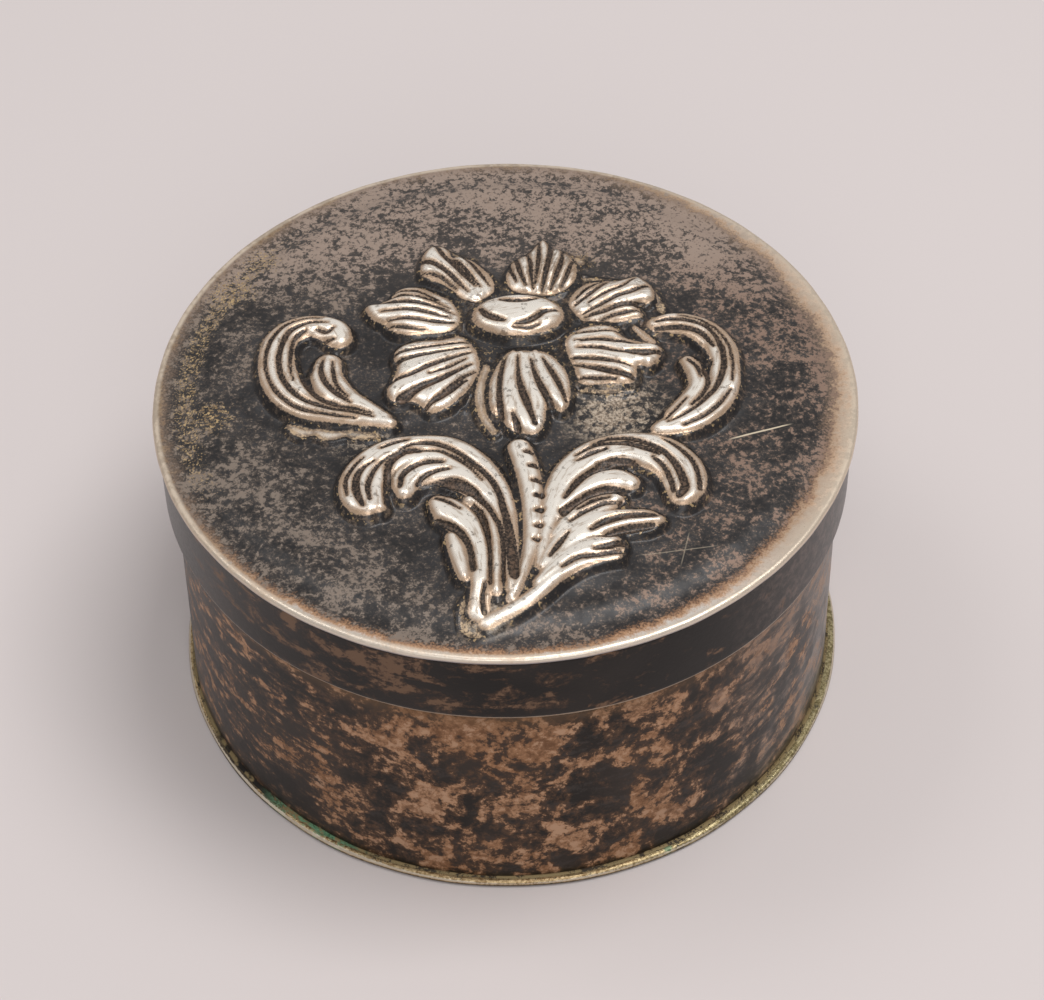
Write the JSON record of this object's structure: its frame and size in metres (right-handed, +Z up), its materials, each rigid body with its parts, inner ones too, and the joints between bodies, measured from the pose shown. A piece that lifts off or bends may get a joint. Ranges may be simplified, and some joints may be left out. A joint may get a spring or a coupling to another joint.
{
  "type": "round slip-lid box",
  "caption": "Small round sheet-metal box with a slip-on lid, a narrow foot flange and a raised flower with leaves and scrolls on the lid.",
  "frame": {"origin": "middle of the box's underside, on the surface it stands on", "axes": "+Z up, the way the lid lifts; -Y towards the front, where the ornament's stem points; +X to the right of someone in front"},
  "size_m": [0.05, 0.05, 0.0274],
  "materials": {
    "foot_sheet": "sheet silver with yellow-brown tarnish, pitted, green spots in the corner",
    "wall_sheet": "sheet silver with black and copper-brown tarnish in patches",
    "solder": "grey silver solder",
    "lid_sheet": "sheet silver, blackened ground with worn bright relief and rim",
    "skirt_sheet": "sheet silver with dark brown tarnish"
  },
  "bodies": {
    "base": {"base_plate": "foot_sheet", "base_wall": "wall_sheet", "base_wall_seam": "solder", "base_solder_fillet": "solder"},
    "lid": {"lid_plate": "lid_sheet", "lid_skirt": "skirt_sheet", "lid_skirt_seam": "solder", "lid_solder_fillet": "solder"}
  },
  "joints": [
    {"name": "lid_lift", "type": "slide", "parent": "base", "child": "lid", "axis": [0, 0, 1], "range_m": [0, 0.03]}
  ]
}
